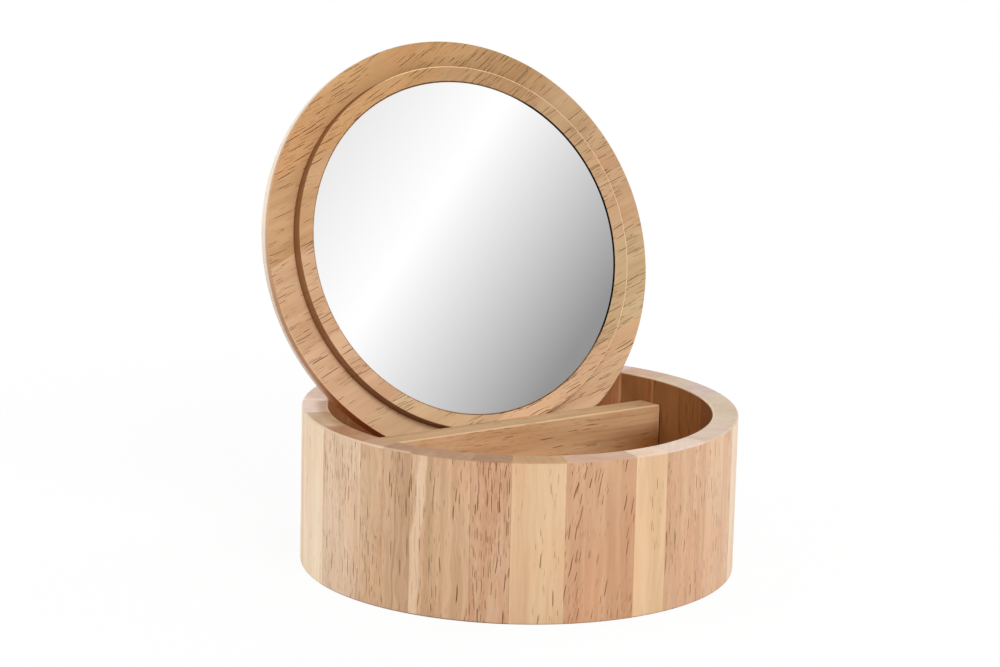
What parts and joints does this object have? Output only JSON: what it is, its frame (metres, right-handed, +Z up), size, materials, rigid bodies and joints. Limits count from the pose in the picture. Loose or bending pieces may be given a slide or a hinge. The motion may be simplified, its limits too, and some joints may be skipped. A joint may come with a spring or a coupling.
{
  "type": "vanity box with mirror",
  "caption": "Round wooden vanity box with a divider and a loose stepped lid that carries a mirror and stands on edge in the box.",
  "frame": {"origin": "middle of the box's underside", "axes": "+Z up; +X along the divider; the open front compartment is towards -Y and the lid stands in the rear compartment, towards +Y, with its mirror facing -Y"},
  "size_m": [0.1852, 0.1825, 0.2059],
  "materials": {
    "wall_wood": "sanded upright grain, matt clear oil",
    "floor_wood": "sanded, matt clear oil",
    "divider_wood": "sanded, matt clear oil",
    "lid_wood": "turned and sanded, matt clear oil",
    "mirror_glass": "silvered glass, polished",
    "glue_pad": "set glue"
  },
  "bodies": {
    "box": {"stave_01": "wall_wood", "stave_02": "wall_wood", "stave_03": "wall_wood", "stave_04": "wall_wood", "stave_05": "wall_wood", "stave_06": "wall_wood", "stave_07": "wall_wood", "stave_08": "wall_wood", "stave_09": "wall_wood", "stave_10": "wall_wood", "stave_11": "wall_wood", "stave_12": "wall_wood", "stave_13": "wall_wood", "stave_14": "wall_wood", "stave_15": "wall_wood", "stave_16": "wall_wood", "stave_17": "wall_wood", "stave_18": "wall_wood", "stave_19": "wall_wood", "stave_20": "wall_wood", "stave_21": "wall_wood", "stave_22": "wall_wood", "stave_23": "wall_wood", "stave_24": "wall_wood", "stave_25": "wall_wood", "floor_board_1": "floor_wood", "floor_board_2": "floor_wood", "floor_board_3": "floor_wood", "floor_board_4": "floor_wood", "divider": "divider_wood"},
    "lid": {"lid_strip_1": "lid_wood", "lid_strip_2": "lid_wood", "lid_strip_3": "lid_wood", "lid_strip_4": "lid_wood", "lid_strip_5": "lid_wood", "lid_strip_6": "lid_wood", "mirror": "mirror_glass", "mirror_pads": "glue_pad"}
  },
  "joints": [
    {"name": "lid_lift", "type": "slide", "parent": "box", "child": "lid", "axis": [0.0284, 0.3605, 0.9323], "range_m": [0, 0.08]}
  ]
}
